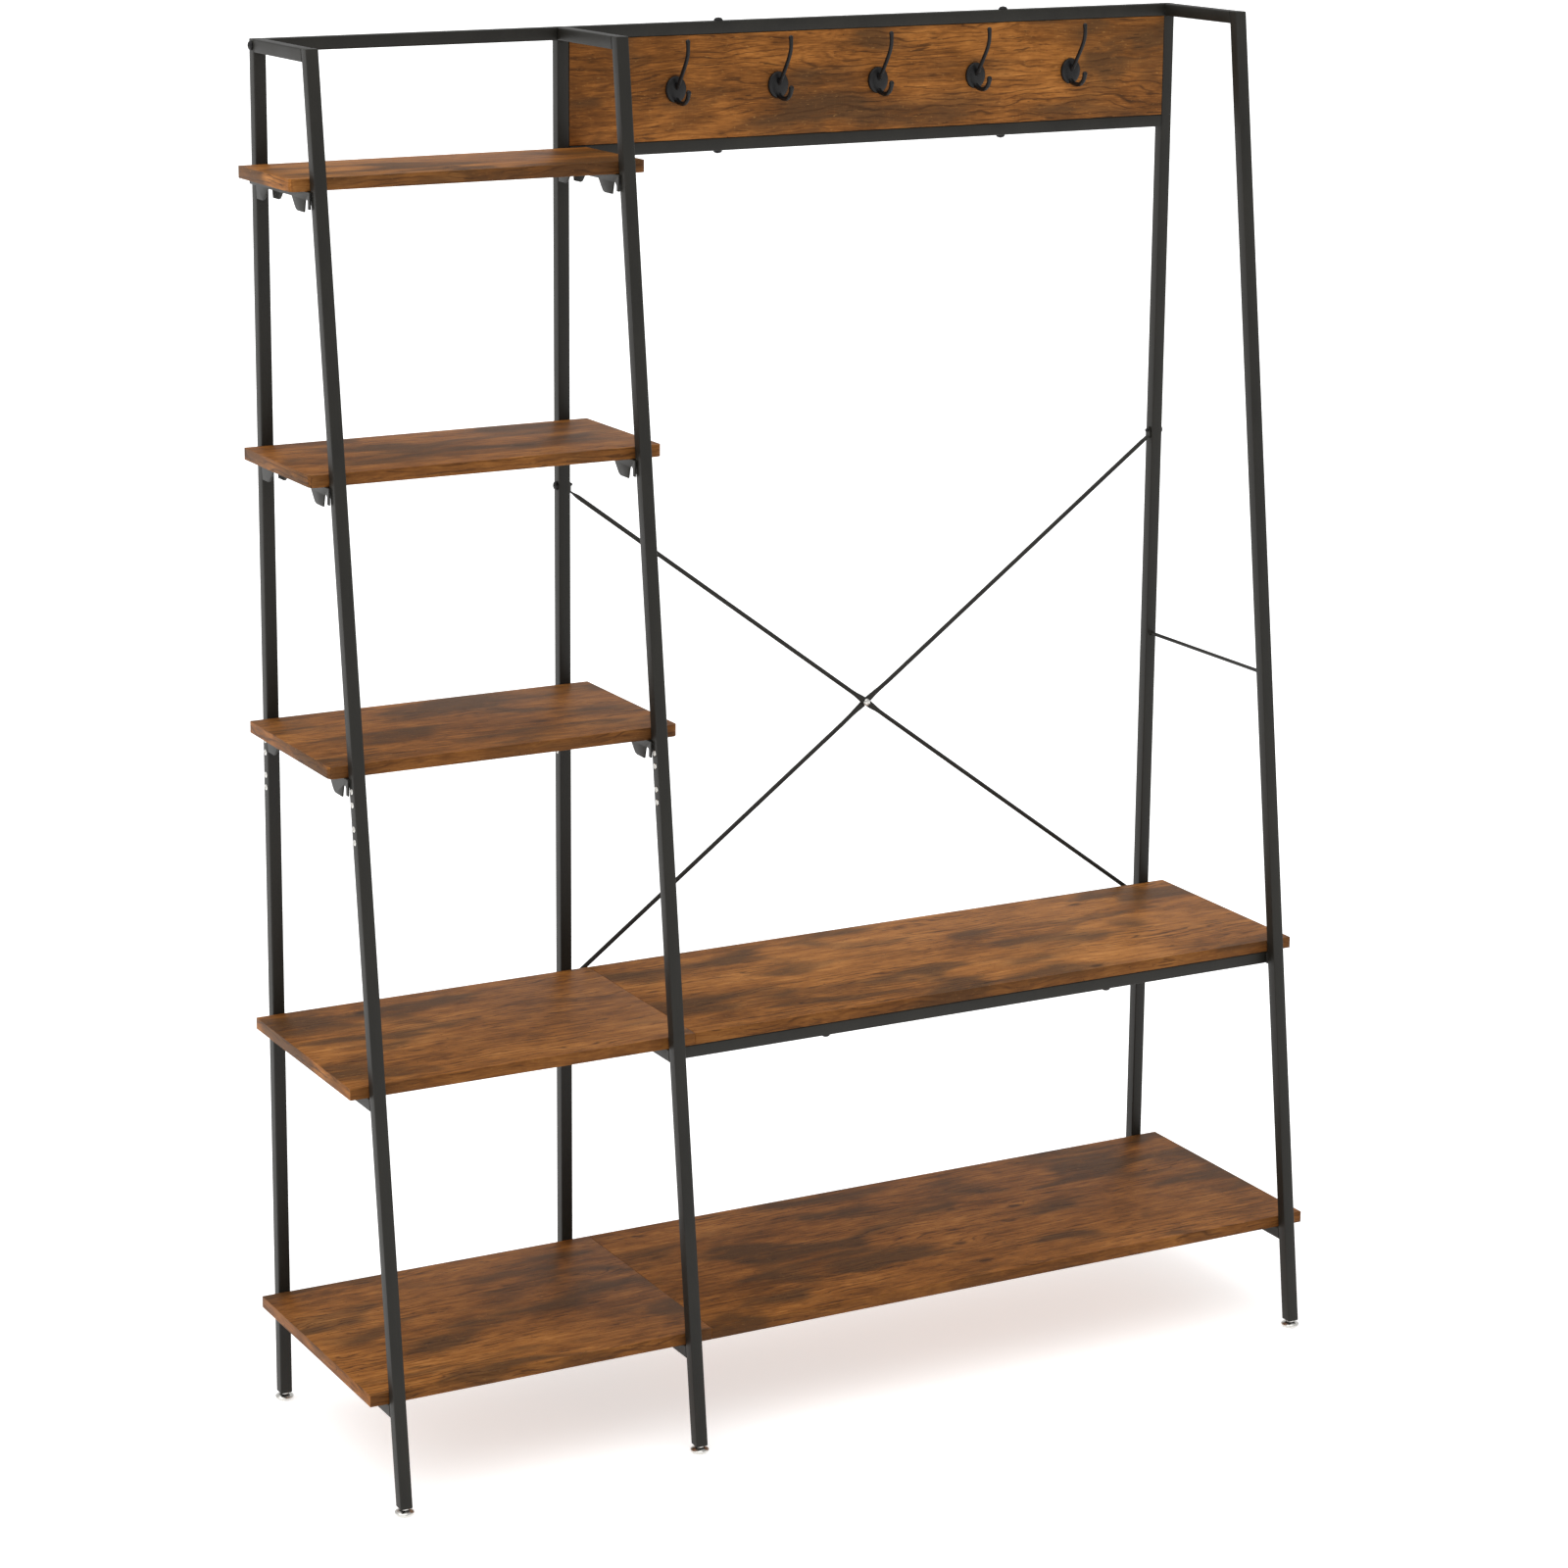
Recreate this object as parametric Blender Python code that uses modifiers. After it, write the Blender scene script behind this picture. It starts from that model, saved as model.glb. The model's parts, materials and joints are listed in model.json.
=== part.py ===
"""Hall tree: three welded tube side frames that carry seven boards, a coat panel with five hooks and an X brace.

Metres, +Z up. +X is to the right as seen from the front and +Y is to the back. The origin is on the floor,
in the middle of the outline.
"""

import math

import bmesh
import bpy
from mathutils import Matrix, Vector

# Overall size
HEIGHT = 1.750
FRAME_DEPTH = 0.405  # front post's face to rear post's back, at the floor
FRAME_DEPTH_TOP = 0.181
LEFT_BAY = 0.404  # left frame's middle to the middle frame's middle
RIGHT_BAY = 0.902

# Stock
TUBE = 0.016
WALL = 0.0012
BOARD = 0.015
GAP = 0.0003

# Heights of the boards' tops
BOTTOM_TOP = 0.150
BENCH_TOP = 0.525
SHELF_TOPS = {"lower": 0.911, "middle": 1.2555, "upper": 1.600}
PANEL_RAIL_TOP = 1.602
BOARD_OVERHANG = 0.0313  # past the outer frame's middle
SHELF_CORNER = 0.008

# Levelling feet
FOOT_RADIUS = 0.012
FOOT_HEIGHT = 0.010
STEM_RADIUS = 0.003
STEM_HOLE = 0.0035
STEM_TOP = 0.034
NUT_PLATE = 0.003

# Shelf brackets
SHEET = 0.002
BRACKET_REACH = 0.0093  # frame's middle to the inner side of a bracket's web
WEB_BAND = 0.0092
WEB_TAB = 0.025
WEB_PRONG = 0.0205
PRONG = 0.006
SLOT_END = 0.0020  # from the prong

# X brace and side rod
BRACE_HIGH = 1.162
BRACE_LOW = 0.508
ROD_RADIUS = 0.003
LENS_WIDTH = 0.0094
LENS_THICKNESS = 0.0026
TAB = (0.002, 0.0092, 0.0145)  # a tab at a rod's end, in X, Y and Z
TAB_BOLT = 0.0078  # rod's end to the bolt through its tab, in Z
SIDE_ROD_HEIGHT = 0.885
SIDE_ROD_RADIUS = 0.0025

# Bolts
HEAD_RADIUS = 0.0058
HEAD_HEIGHT = 0.0038
SOCKET_DEPTH = 0.0018
SHANK_RADIUS = 0.0025
HOLE_RADIUS = 0.0029
SOCKET_RADIUS = 0.0019
RAIL_BOLTS = (0.222, 0.645)  # from the middle frame's middle
ROUND_STEPS = 16

# Coat hooks
HOOKS = 5
HOOK_PITCH = 0.1473
HOOK_HEIGHT = 1.666
HOOK_BASE = (0.0143, 0.0170)  # half width and half height
PRONG_SIDES = 12
# Points of a prong's middle line: distance out from the panel, and height above the base's middle.
UPPER_PRONG = [(0.0015, 0.001), (0.0098, 0.007), (0.018, 0.0184), (0.0295, 0.0354), (0.0344, 0.0464)]
UPPER_PRONG += [(0.0352, 0.0550), (0.0346, 0.0620)]
LOWER_PRONG = [(0.0015, -0.0120), (0.0085, -0.0152), (0.0165, -0.0165), (0.0246, -0.0158)]
LOWER_PRONG += [(0.0315, -0.0122), (0.0357, -0.0065), (0.0369, -0.0015)]

X_LEFT = -(LEFT_BAY + RIGHT_BAY) / 2
X_MIDDLE = X_LEFT + LEFT_BAY
X_RIGHT = -X_LEFT
FRAMES = {"left": X_LEFT, "middle": X_MIDDLE, "right": X_RIGHT}
LEAN = (FRAME_DEPTH - FRAME_DEPTH_TOP) / HEIGHT
LEANING_TUBE = TUBE * math.sqrt(1 + LEAN * LEAN)
# The feet stand out at the front and the back, and the origin is halfway between them.
Y_BACK = (FRAME_DEPTH - LEAN * FOOT_HEIGHT - (LEANING_TUBE - TUBE) / 2) / 2
Y_POST = Y_BACK - TUBE / 2  # rear posts' middle
Y_REAR_FACE = Y_BACK - TUBE  # rear posts' front face
HALF = TUBE / 2
SEAM = X_MIDDLE + BOARD_OVERHANG
BENCH_RAIL_TOP = BENCH_TOP - BOARD - GAP


def front_face(z):
    """The leaning front posts' front face at a height."""
    return Y_BACK - FRAME_DEPTH_TOP - LEAN * (HEIGHT - z)


def front_back(z):
    """The leaning front posts' back face at a height."""
    return front_face(z) + LEANING_TUBE


def clear_scene():
    for obj in list(bpy.data.objects):
        bpy.data.objects.remove(obj, do_unlink=True)


def new_collection(name):
    collection = bpy.data.collections.new(name)
    bpy.context.scene.collection.children.link(collection)
    return collection


def new_material(name, colour, roughness, metallic):
    material = bpy.data.materials.new(name)
    material.use_nodes = True
    shader = material.node_tree.nodes["Principled BSDF"]
    shader.inputs["Base Color"].default_value = (*colour, 1)
    shader.inputs["Roughness"].default_value = roughness
    shader.inputs["Metallic"].default_value = metallic
    material.diffuse_color = (*colour, 1)
    return material


clear_scene()
PARTS = new_collection("hall_tree")
CUTTERS = new_collection("cutters")
BLACK = new_material("powder_coat", (0.022, 0.021, 0.019), 0.5, 0.2)
HARDWARE = new_material("black_hardware", (0.02, 0.02, 0.022), 0.35, 0.6)
ZINC = new_material("bright_zinc", (0.62, 0.61, 0.58), 0.25, 1.0)
WOOD = new_material("rustic_wood", (0.23, 0.105, 0.042), 0.55, 0.0)


def add_object(name, bm, material, location=(0, 0, 0), parent=None, collection=None):
    """An object from a bmesh. The location is in the parent's space, and an empty's space only shifts."""
    mesh = bpy.data.meshes.new(name)
    bm.to_mesh(mesh)
    bm.free()
    obj = bpy.data.objects.new(name, mesh)
    obj.location = location
    obj.parent = parent
    if material:
        mesh.materials.append(material)
    (collection or PARTS).objects.link(obj)
    return obj


def add_cutter(name, bm, location=(0, 0, 0), parent=None):
    cutter = add_object(name, bm, None, location, parent, CUTTERS)
    cutter.hide_render = True
    cutter.display_type = "WIRE"
    return cutter


def cut(obj, cutter, operation="DIFFERENCE"):
    modifier = obj.modifiers.new(cutter.name, "BOOLEAN")
    modifier.operation = operation
    modifier.object = cutter
    modifier.solver = "EXACT"


def box_mesh(low, high):
    bm = bmesh.new()
    bmesh.ops.create_cube(bm, size=1)
    size = Vector(high) - Vector(low)
    middle = (Vector(high) + Vector(low)) / 2
    bmesh.ops.transform(bm, matrix=Matrix.Translation(middle) @ Matrix.Diagonal((*size, 1)), verts=bm.verts)
    return bm


def cylinder_mesh(radius, start, end, segments=ROUND_STEPS):
    """A cylinder between two points."""
    bm = bmesh.new()
    along = Vector(end) - Vector(start)
    bmesh.ops.create_cone(
        bm, cap_ends=True, segments=segments, radius1=radius, radius2=radius, depth=along.length
    )
    turn = Vector((0, 0, 1)).rotation_difference(along).to_matrix().to_4x4()
    middle = Matrix.Translation((Vector(start) + Vector(end)) / 2)
    # Half a step round, so that no edge of a hole lies on a plane of the piece it goes through.
    step = Matrix.Rotation(math.pi / segments, 4, "Z")
    bmesh.ops.transform(bm, matrix=middle @ turn @ step, verts=bm.verts)
    return bm


def drill(objects, name, start, end, radius=HOLE_RADIUS):
    """A round hole through every object given, between two points."""
    cutter = add_cutter(name, cylinder_mesh(radius, start, end))
    for obj in objects:
        cut(obj, cutter)


def outline_mesh(points, thickness):
    """A flat outline in X and Y, made thick upwards from Z = 0."""
    bm = bmesh.new()
    face = bm.faces.new([bm.verts.new((x, y, 0)) for x, y in points])
    if face.normal.z > 0:
        face.normal_flip()
    raised = bmesh.ops.extrude_face_region(bm, geom=[face])["geom"]
    verts = [item for item in raised if isinstance(item, bmesh.types.BMVert)]
    bmesh.ops.translate(bm, vec=(0, 0, thickness), verts=verts)
    bmesh.ops.recalc_face_normals(bm, faces=bm.faces)
    return bm


def shade_smooth(obj):
    obj.data.shade_smooth()
    obj.data.set_sharp_from_angle(angle=math.radians(35))


def turned(name, profile, material, location, axis=(0, 0, 1), parent=None):
    """A turned piece: radius and height pairs from the top of its outer side down, spun about its own Z."""
    bm = bmesh.new()
    verts = [bm.verts.new((radius, 0, height)) for radius, height in profile]
    for upper, lower in zip(verts, verts[1:]):
        bm.edges.new((upper, lower))
    obj = add_object(name, bm, material, location, parent)
    obj.rotation_euler = Vector((0, 0, 1)).rotation_difference(Vector(axis)).to_euler()
    screw = obj.modifiers.new("turn", "SCREW")
    screw.steps = ROUND_STEPS
    screw.render_steps = ROUND_STEPS
    screw.use_merge_vertices = True
    screw.merge_threshold = 0.00001
    screw.use_smooth_shade = True
    return obj


def arc(centre, radius, start, end, steps):
    """Points on an arc, in degrees."""
    points = []
    for step in range(steps + 1):
        angle = math.radians(start + (end - start) * step / steps)
        points.append((centre[0] + radius * math.cos(angle), centre[1] + radius * math.sin(angle)))
    return points


# ---------------------------------------------------------------- side frames


def hollow_tube(name, low, high, parent, inner_low, inner_high, shape=None):
    """A square tube: an outer box less an inner box. shape moves a vertex of either, for a leaning tube."""
    outer = box_mesh(low, high)
    inner = box_mesh(inner_low, inner_high)
    for bm in (outer, inner):
        if shape:
            for vert in bm.verts:
                shape(vert)
    tube = add_object(name, outer, BLACK, parent=parent)
    cut(tube, add_cutter(name + "_bore", inner, parent=parent))
    return tube


def lean(vert):
    vert.co.y += front_face(vert.co.z)


def rear_post(name, frame):
    bottom = FOOT_HEIGHT + GAP
    return hollow_tube(
        name + "_rear_post",
        (-HALF, Y_REAR_FACE, bottom),
        (HALF, Y_BACK, HEIGHT),
        frame,
        (-HALF + WALL, Y_REAR_FACE + WALL, bottom + NUT_PLATE),
        (HALF - WALL, Y_BACK - WALL, HEIGHT - WALL),
    )


def front_post(name, frame):
    bottom = FOOT_HEIGHT + GAP
    return hollow_tube(
        name + "_front_post",
        (-HALF, 0, bottom),
        (HALF, LEANING_TUBE, HEIGHT),
        frame,
        (-HALF + WALL, WALL, bottom + NUT_PLATE),
        (HALF - WALL, LEANING_TUBE - WALL, HEIGHT - WALL),
        lean,
    )


def cross_tube(name, frame, top):
    """A tube from the rear post to the leaning front post, its front end cut to the lean."""
    bottom = top - TUBE
    outer = box_mesh((-HALF, 0, bottom), (HALF, Y_REAR_FACE - GAP, top))
    for vert in outer.verts:
        if vert.co.y < GAP:
            vert.co.y = front_back(vert.co.z) + GAP
    inner = box_mesh(
        (-HALF + WALL, front_face(bottom), bottom + WALL),
        (HALF - WALL, Y_BACK, top - WALL),
    )
    tube = add_object(name, outer, BLACK, parent=frame)
    cut(tube, add_cutter(name + "_bore", inner, parent=frame))
    return tube


def foot(name, frame, y):
    """A levelling foot: a domed glide on a threaded stem that screws into the post's end plate."""
    sole = [(FOOT_RADIUS - 0.0002, 0.0050), (FOOT_RADIUS, 0.0040), (0.0108, 0.0018), (0.0078, 0)]
    profile = [(0, STEM_TOP), (STEM_RADIUS, STEM_TOP), (STEM_RADIUS, FOOT_HEIGHT - 0.0004)]
    profile += [(0.0052, FOOT_HEIGHT - 0.0004), (0.0052, 0.0078), (0.0095, 0.0066), *sole, (0, 0)]
    return turned(name, profile, ZINC, (0, y, 0), parent=frame)


def side_frame(name, x):
    frame = bpy.data.objects.new(name + "_frame", None)
    frame.location = (x, 0, 0)
    PARTS.objects.link(frame)
    posts = {"rear": rear_post(name, frame), "front": front_post(name, frame)}
    cross_tube(name + "_top_rail", frame, HEIGHT)
    cross_tube(name + "_bench_crossbar", frame, BENCH_RAIL_TOP)
    cross_tube(name + "_bottom_crossbar", frame, BOTTOM_TOP - BOARD - GAP)
    places = {"rear": Y_POST, "front": front_face(FOOT_HEIGHT) + LEANING_TUBE / 2}
    for end, y in places.items():
        foot(f"{name}_{end}_foot", frame, y)
        drill([posts[end]], f"{name}_{end}_stem_hole", (x, y, 0), (x, y, STEM_TOP - 0.015), STEM_HOLE)
    return posts


def side_rod():
    """The thin round rod between the right frame's posts."""
    start = (X_RIGHT, front_back(SIDE_ROD_HEIGHT + SIDE_ROD_RADIUS) + GAP, SIDE_ROD_HEIGHT)
    end = (X_RIGHT, Y_REAR_FACE - GAP, SIDE_ROD_HEIGHT)
    rod = add_object("right_side_rod", cylinder_mesh(SIDE_ROD_RADIUS, start, end), BLACK)
    shade_smooth(rod)


# ---------------------------------------------------------------- long rails


def long_rail(name, left, right, back, top, ends_closed=False):
    """A square tube along X between two frames' inner faces. A rail bolted through its ends has end plates."""
    low = (left + HALF + GAP, back - TUBE, top - TUBE)
    high = (right - HALF - GAP, back, top)
    reach = -NUT_PLATE if ends_closed else TUBE
    inner_low = (low[0] - reach, low[1] + WALL, low[2] + WALL)
    inner_high = (high[0] + reach, high[1] - WALL, high[2] - WALL)
    return hollow_tube(name, low, high, None, inner_low, inner_high)


def rails():
    """The rails between the frames, and the bolts that hold them."""
    back_left = long_rail("back_top_rail_left", X_LEFT, X_MIDDLE, Y_BACK, HEIGHT, True)
    back_right = long_rail("back_top_rail_right", X_MIDDLE, X_RIGHT, Y_BACK, HEIGHT, True)
    lower = long_rail("panel_lower_rail", X_MIDDLE, X_RIGHT, Y_BACK, PANEL_RAIL_TOP)
    bench_back = front_back(BENCH_TOP) + TUBE + 0.001
    bench = long_rail("bench_front_rail", X_MIDDLE, X_RIGHT, bench_back, BENCH_RAIL_TOP)
    centre = HEIGHT - HALF
    left_end = (X_LEFT - HALF, Y_POST, centre)
    right_end = (X_RIGHT + HALF, Y_POST, centre)
    bolt("rail_end_bolt_left", left_end, (-1, 0, 0), TUBE + 0.012, [POSTS["left"]["rear"], back_left])
    bolt("rail_end_bolt_right", right_end, (1, 0, 0), TUBE + 0.012, [POSTS["right"]["rear"], back_right])
    seam_start = Vector((X_MIDDLE - 0.02, Y_POST, centre))
    drill([back_left, back_right], "rail_inner_hole", seam_start, seam_start + Vector((0.04, 0, 0)))
    panel = coat_panel()
    bench_board = BOARDS["bench_board_right"]
    for number, place in enumerate(RAIL_BOLTS, 1):
        x = X_MIDDLE + place
        above = (x, Y_POST, HEIGHT)
        below = (x, Y_POST, PANEL_RAIL_TOP - TUBE)
        bolt(f"panel_bolt_upper_{number}", above, (0, 0, 1), TUBE + 0.010, [back_right, panel])
        bolt(f"panel_bolt_lower_{number}", below, (0, 0, -1), TUBE + 0.010, [lower, panel])
        under = (x, bench_back - HALF, BENCH_RAIL_TOP - TUBE)
        bolt(f"bench_rail_bolt_{number}", under, (0, 0, -1), TUBE + 0.009, [bench, bench_board])


# ---------------------------------------------------------------- boards


def board(name, left, right, top, corner=0):
    """A board between the rear posts' front faces and the front posts' back faces."""
    back = Y_REAR_FACE - GAP
    front = front_back(top) + 0.0011
    if corner:
        middle = front + corner
        outline = arc((left + corner, middle), corner, 180, 270, 4)
        outline += arc((right - corner, middle), corner, 270, 360, 4)
        outline += [(right, back), (left, back)]
    else:
        outline = [(left, front), (right, front), (right, back), (left, back)]
    return add_object(name, outline_mesh(outline, BOARD), WOOD, (0, 0, top - BOARD))


def left_boards():
    """The left bay's shelves and their brackets."""
    left = X_LEFT - BOARD_OVERHANG
    for place, top in SHELF_TOPS.items():
        board(place + "_shelf", left, SEAM - GAP / 2, top, SHELF_CORNER)
        for side in ("left", "middle"):
            shelf_bracket(f"{place}_shelf_bracket_{side}", FRAMES[side], top)


def long_boards():
    """The bench and the bottom shelf: a short board and a long one, which meet right of the middle frame."""
    left = X_LEFT - BOARD_OVERHANG
    boards = {}
    for place, top in (("bench", BENCH_TOP), ("bottom", BOTTOM_TOP)):
        for side, start, end in (("left", left, SEAM - GAP / 2), ("right", SEAM + GAP / 2, -left)):
            name = f"{place}_board_{side}"
            boards[name] = board(name, start, end, top)
    return boards


def coat_panel():
    low = (X_MIDDLE + HALF + GAP, Y_REAR_FACE, PANEL_RAIL_TOP + GAP)
    high = (X_RIGHT - HALF - GAP, Y_REAR_FACE + BOARD, HEIGHT - TUBE - GAP)
    return add_object("coat_panel", box_mesh(low, high), WOOD)


# ---------------------------------------------------------------- shelf brackets


def web_outline(post_back):
    """A bracket's web seen from the side: distance from the rear post's back face, and height under the board.

    A tab with a rounded foot stands at each end. In front of the front one are a slot and a prong at the
    front post's side.
    """
    rear_tab = [(0.0060, WEB_BAND), (0.0085, WEB_TAB), (0.0270, WEB_TAB), (0.0315, 0.0235), (0.0355, 0.0195)]
    rear_tab += [(0.0440, WEB_BAND)]
    front_tab = [(0.0500, WEB_BAND), (0.0415, 0.0195), (0.0375, 0.0235), (0.0330, WEB_TAB)]
    front_tab += [(0.0120, WEB_TAB), (0.0085, 0.0115), (0.0065, WEB_BAND), (SLOT_END, WEB_BAND)]
    front_tab += [(0, 0.0115), (0, WEB_PRONG)]
    outline = [(0.001, 0), (0.001, -WEB_BAND)]
    outline += [(TUBE + along, -below) for along, below in rear_tab]
    outline += [(post_back - along, -below) for along, below in front_tab]
    return outline + [(post_back + PRONG, -WEB_PRONG), (post_back + PRONG, 0)]


def shelf_bracket(name, x, top):
    """A saddle of folded sheet under a board: a plate between the posts and a web on each side of them."""
    under = top - BOARD - GAP
    post_back = Y_BACK - front_back(under)
    outer = BRACKET_REACH + SHEET
    low = (-outer, front_back(under) + GAP, under - SHEET)
    high = (outer, Y_REAR_FACE - GAP, under)
    bracket = add_object(name, box_mesh(low, high), BLACK, (x, 0, 0))
    # An outline in X and Y turned so that its X runs to the front and its Y runs up.
    upright = Matrix(((0, 0, 1, 0), (-1, 0, 0, 0), (0, 1, 0, 0), (0, 0, 0, 1)))
    for side, inner in (("left", -outer), ("right", BRACKET_REACH)):
        web = outline_mesh(web_outline(post_back), SHEET)
        place = Matrix.Translation((inner, Y_BACK, under)) @ upright
        bmesh.ops.transform(web, matrix=place, verts=web.verts)
        bmesh.ops.recalc_face_normals(web, faces=web.faces)
        cut(bracket, add_cutter(f"{name}_{side}_web", web, (x, 0, 0)), "UNION")
    return bracket


# ---------------------------------------------------------------- X brace


def skin_mesh(rings):
    """A closed mesh through rings of points."""
    bm = bmesh.new()
    loops = [[bm.verts.new(point) for point in ring] for ring in rings]
    for loop, following in zip(loops, loops[1:]):
        for i in range(len(loop)):
            bm.faces.new((loop[i - 1], loop[i], following[i], following[i - 1]))
    bm.faces.new(loops[0])
    bm.faces.new(loops[-1])
    bmesh.ops.recalc_face_normals(bm, faces=bm.faces)
    return bm


def ellipse(middle, first, second, sides):
    """A ring of points around middle, with two half axes given as vectors."""
    angles = [2 * math.pi * side / sides for side in range(sides)]
    return [middle + first * math.cos(angle) + second * math.sin(angle) for angle in angles]


def brace_rod(name, start, end):
    """A round rod from the left post to the right one, flattened where the two cross, with a tab at each end.

    start and end are X and Z of its ends. The rod that falls passes in front of the one that rises.
    """
    falls = end[1] < start[1]
    offset = (LENS_THICKNESS + GAP) / 2 * (-1 if falls else 1)
    origin = Vector((start[0], Y_POST, start[1]))
    along = Vector((end[0], Y_POST, end[1])) - origin
    length = along.length
    along.normalize()
    across = Vector((0, 1, 0)).cross(along)
    half = length / 2
    flat = LENS_THICKNESS / 2
    # Distance along the rod, half width in the brace's plane, half thickness in Y, and shift in Y
    sections = [(0, 0.0011, 0.0042, 0), (0.006, 0.0013, 0.0042, 0), (0.018, ROD_RADIUS, ROD_RADIUS, 0)]
    sections += [(half - 0.040, ROD_RADIUS, ROD_RADIUS, 0), (half - 0.019, 0.0031, 0.0026, offset)]
    sections += [(half - 0.012, LENS_WIDTH * 0.42, flat, offset), (half - 0.005, LENS_WIDTH / 2, flat, offset)]
    sections += [(length - place, wide, thick, shift) for place, wide, thick, shift in reversed(sections)]
    rings = []
    for place, wide, thick, shift in sections:
        middle = origin + along * place + Vector((0, shift, 0))
        rings.append(ellipse(middle, across * wide, Vector((0, thick, 0)), 12))
    rod = add_object(name, skin_mesh(rings), BLACK)
    add_brace_tab(rod, start, 1)
    add_brace_tab(rod, end, -1)
    shade_smooth(rod)
    return rod


def add_brace_tab(rod, end, inward):
    """A flat tab against a post, from a rod's end away from the brace's middle. inward is its side in X."""
    outward = 1 if end[1] == BRACE_HIGH else -1
    thickness, width, height = TAB
    post_side = end[0] - inward * thickness / 2
    free_side = end[0] + inward * thickness / 2
    foot_z = end[1] - outward * 0.0022
    tip_z = foot_z + outward * height
    low = (min(post_side, free_side), Y_POST - width / 2, min(foot_z, tip_z))
    high = (max(post_side, free_side), Y_POST + width / 2, max(foot_z, tip_z))
    place = "left" if inward > 0 else "right"
    cut(rod, add_cutter(f"{rod.name}_{place}_tab", box_mesh(low, high)), "UNION")


def x_brace():
    """Two rods with a screw where they cross, and a bolt through each post into each tab."""
    reach = HALF + GAP + TAB[0] / 2
    left = X_MIDDLE + reach
    right = X_RIGHT - reach
    rods = [
        brace_rod("brace_rod_falling", (left, BRACE_HIGH), (right, BRACE_LOW)),
        brace_rod("brace_rod_rising", (left, BRACE_LOW), (right, BRACE_HIGH)),
    ]
    middle = Vector(((left + right) / 2, Y_POST, (BRACE_HIGH + BRACE_LOW) / 2))
    swing = Vector((0, 0.01, 0))
    drill(rods, "brace_middle_hole", middle - swing, middle + swing, 0.0021)
    face = LENS_THICKNESS + GAP / 2
    screw = [(0, 0.0030), (0.0022, 0.0028), (0.0040, 0.0018), (0.0050, 0.0003), (0.0050, 0)]
    screw += [(0.0017, 0), (0.0017, -2 * face - 2 * GAP), (0.0037, -2 * face - 2 * GAP)]
    screw += [(0.0037, -2 * face - 0.0020), (0, -2 * face - 0.0020)]
    turned("brace_centre_screw", screw, ZINC, middle - Vector((0, face + GAP, 0)), (0, -1, 0))
    ends = {
        "falling_left": (X_MIDDLE, -1, BRACE_HIGH + TAB_BOLT, 0),
        "falling_right": (X_RIGHT, 1, BRACE_LOW - TAB_BOLT, 0),
        "rising_left": (X_MIDDLE, -1, BRACE_LOW - TAB_BOLT, 1),
        "rising_right": (X_RIGHT, 1, BRACE_HIGH + TAB_BOLT, 1),
    }
    for name, (x, side, z, rod) in ends.items():
        post = POSTS["middle" if side < 0 else "right"]["rear"]
        head = Vector((x + side * HALF, Y_POST, z))
        bolt("brace_bolt_" + name, head, (side, 0, 0), TUBE + 0.006, [post, rods[rod]])


# ---------------------------------------------------------------- bolts


def bolt(name, seat, axis, length, through):
    """A domed bolt with its head on seat, facing along axis, and a hole for it through the objects given."""
    axis = Vector(axis)
    seat = Vector(seat) + axis * GAP
    floor = HEAD_HEIGHT - SOCKET_DEPTH
    profile = [(0, floor), (SOCKET_RADIUS, floor), (SOCKET_RADIUS, HEAD_HEIGHT)]
    profile += [(0.0037, HEAD_HEIGHT - 0.0006), (0.0051, HEAD_HEIGHT - 0.0018), (HEAD_RADIUS, 0.0007)]
    profile += [(HEAD_RADIUS, 0), (SHANK_RADIUS, 0), (SHANK_RADIUS, -length), (0, -length)]
    turned(name, profile, HARDWARE, seat, axis)
    drill(through, name + "_hole", seat + axis * 0.001, seat - axis * (length + 0.001))


# ---------------------------------------------------------------- coat hooks


def prong_mesh(path, radius, tip_radius):
    """A rod along a line in the YZ plane, with a ball tip."""
    points = [Vector((0, -out, up)) for out, up in path]
    rings = []
    for i, point in enumerate(points):
        before = points[max(i - 1, 0)]
        after = points[min(i + 1, len(points) - 1)]
        along = (after - before).normalized()
        side = Vector((1, 0, 0)).cross(along)
        rings.append(ellipse(point, Vector((radius, 0, 0)), side * radius, PRONG_SIDES))
    for degrees in (-55, -25, 10, 40, 65, 82):
        angle = math.radians(degrees)
        wide = tip_radius * math.cos(angle)
        middle = points[-1] + along * tip_radius * (0.6 + math.sin(angle))
        rings.append(ellipse(middle, Vector((wide, 0, 0)), side * wide, PRONG_SIDES))
    return skin_mesh(rings)


def coat_hook(name, x):
    """An oval base with a long upper prong and a short lower one."""
    half_width, half_height = HOOK_BASE
    # Distance from the panel, and the base's size there
    steps = [(0, 1), (0.0022, 1), (0.0040, 0.93), (0.0052, 0.78), (0.0058, 0.5)]
    rings = []
    for out, size in steps:
        wide = Vector((half_width * size, 0, 0))
        high = Vector((0, 0, half_height * size))
        rings.append(ellipse(Vector((0, -out, 0)), wide, high, 24))
    hook = add_object(name, skin_mesh(rings), HARDWARE, (x, Y_REAR_FACE - GAP, HOOK_HEIGHT))
    upper = add_cutter(name + "_upper", prong_mesh(UPPER_PRONG, 0.0026, 0.0032), hook.location)
    lower = add_cutter(name + "_lower", prong_mesh(LOWER_PRONG, 0.0030, 0.0036), hook.location)
    cut(hook, upper, "UNION")
    cut(hook, lower, "UNION")
    shade_smooth(hook)


def hooks():
    middle = (X_MIDDLE + X_RIGHT) / 2
    for number in range(1, HOOKS + 1):
        coat_hook(f"coat_hook_{number}", middle + (number - (HOOKS + 1) / 2) * HOOK_PITCH)


# ---------------------------------------------------------------- the hall tree

POSTS = {name: side_frame(name, x) for name, x in FRAMES.items()}
side_rod()
left_boards()
BOARDS = long_boards()
rails()
x_brace()
hooks()
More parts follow.
